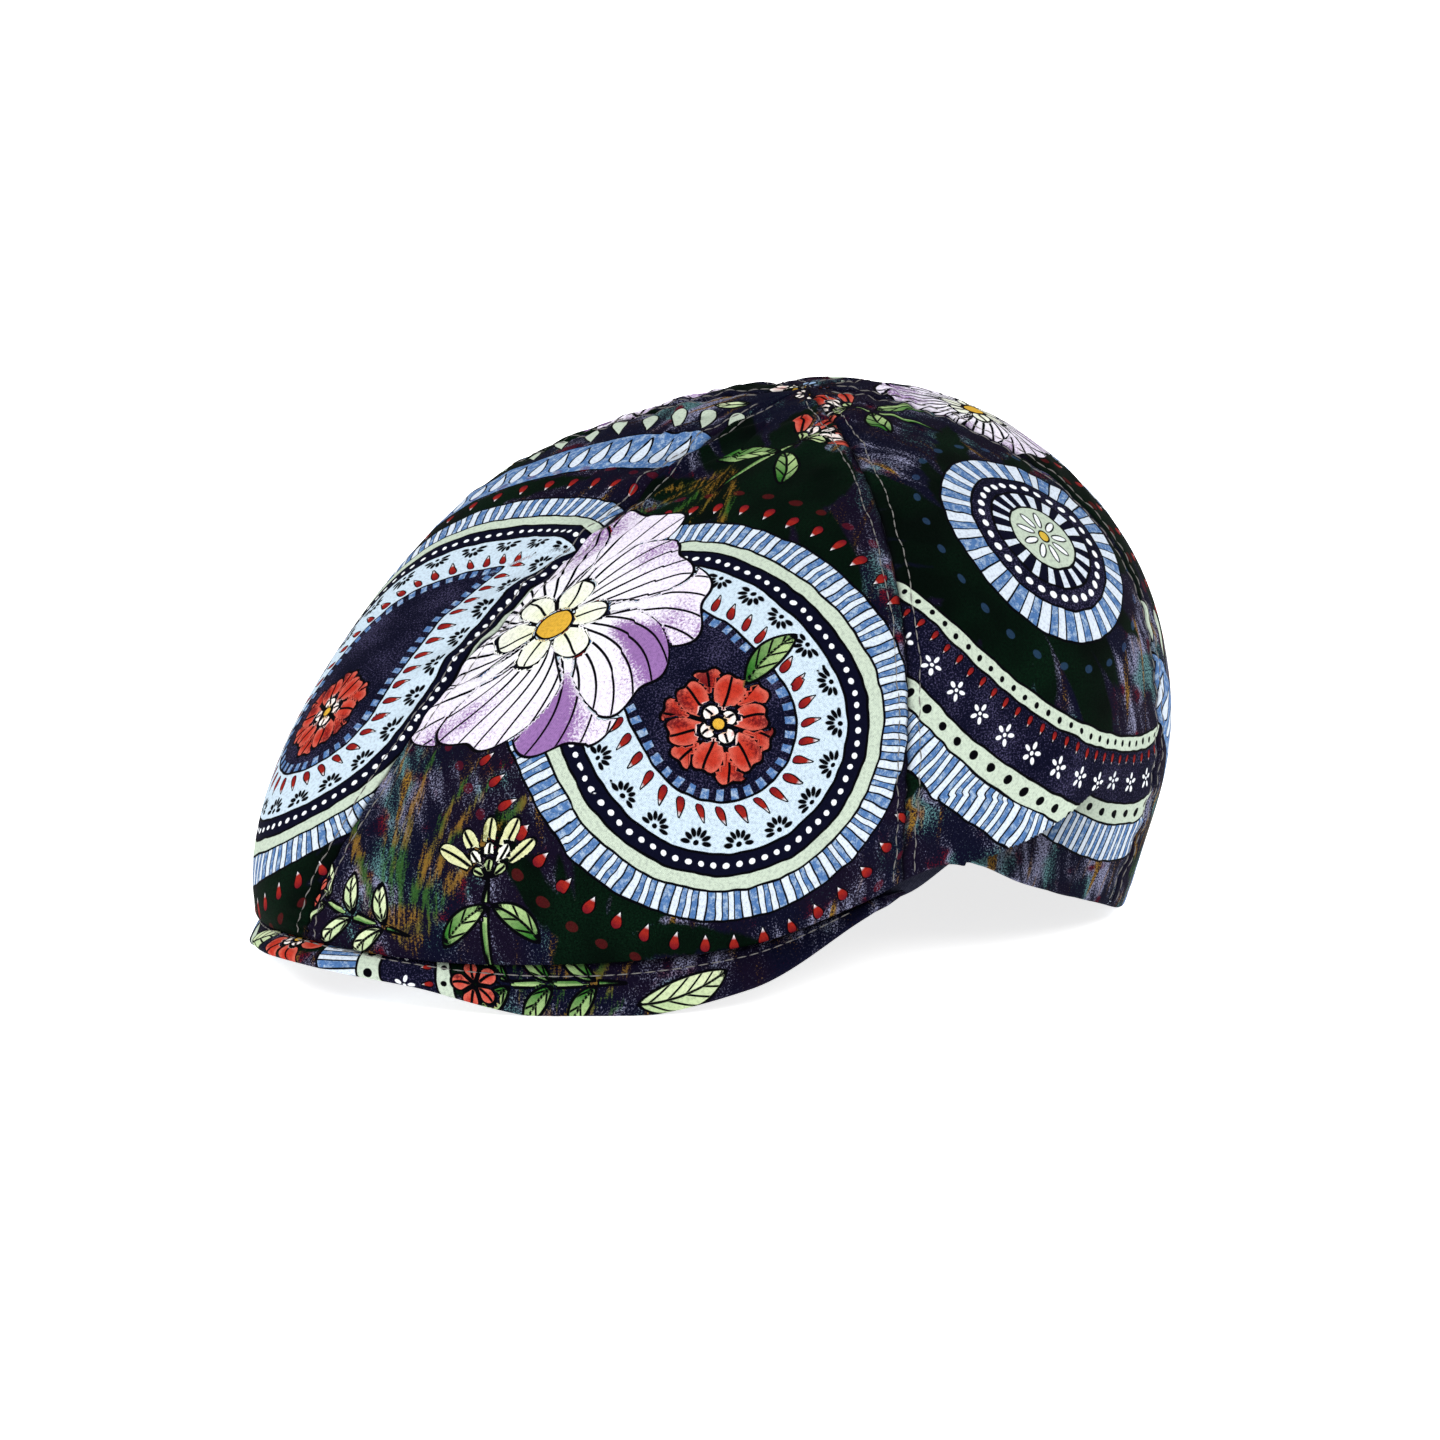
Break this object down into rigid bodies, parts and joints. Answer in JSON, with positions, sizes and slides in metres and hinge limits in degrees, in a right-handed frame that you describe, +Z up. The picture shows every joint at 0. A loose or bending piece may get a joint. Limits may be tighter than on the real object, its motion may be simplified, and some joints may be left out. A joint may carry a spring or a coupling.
{
  "type": "duckbill cap",
  "caption": "Soft panelled cloth cap whose crown leans forward over a short curved peak, with an inner band round the head opening.",
  "frame": {"origin": "centre of the bounding box's base, on the surface that the cap rests on", "axes": "+Z up, the peak points along -Y, +X is the wearer's left"},
  "size_m": [0.1939, 0.245, 0.1295],
  "materials": {
    "printed_cloth": "fine printed cotton, near-black ground with coloured motifs, slight sheen",
    "peak_cloth": "the same printed cotton stretched over a stiff peak",
    "band_cloth": "plain dark woven cotton"
  },
  "bodies": {
    "root": {"crown_front_left": "printed_cloth", "crown_side_left": "printed_cloth", "crown_back_left": "printed_cloth", "crown_front_right": "printed_cloth", "crown_side_right": "printed_cloth", "crown_back_right": "printed_cloth", "peak": "peak_cloth", "sweatband": "band_cloth"}
  },
  "joints": []
}
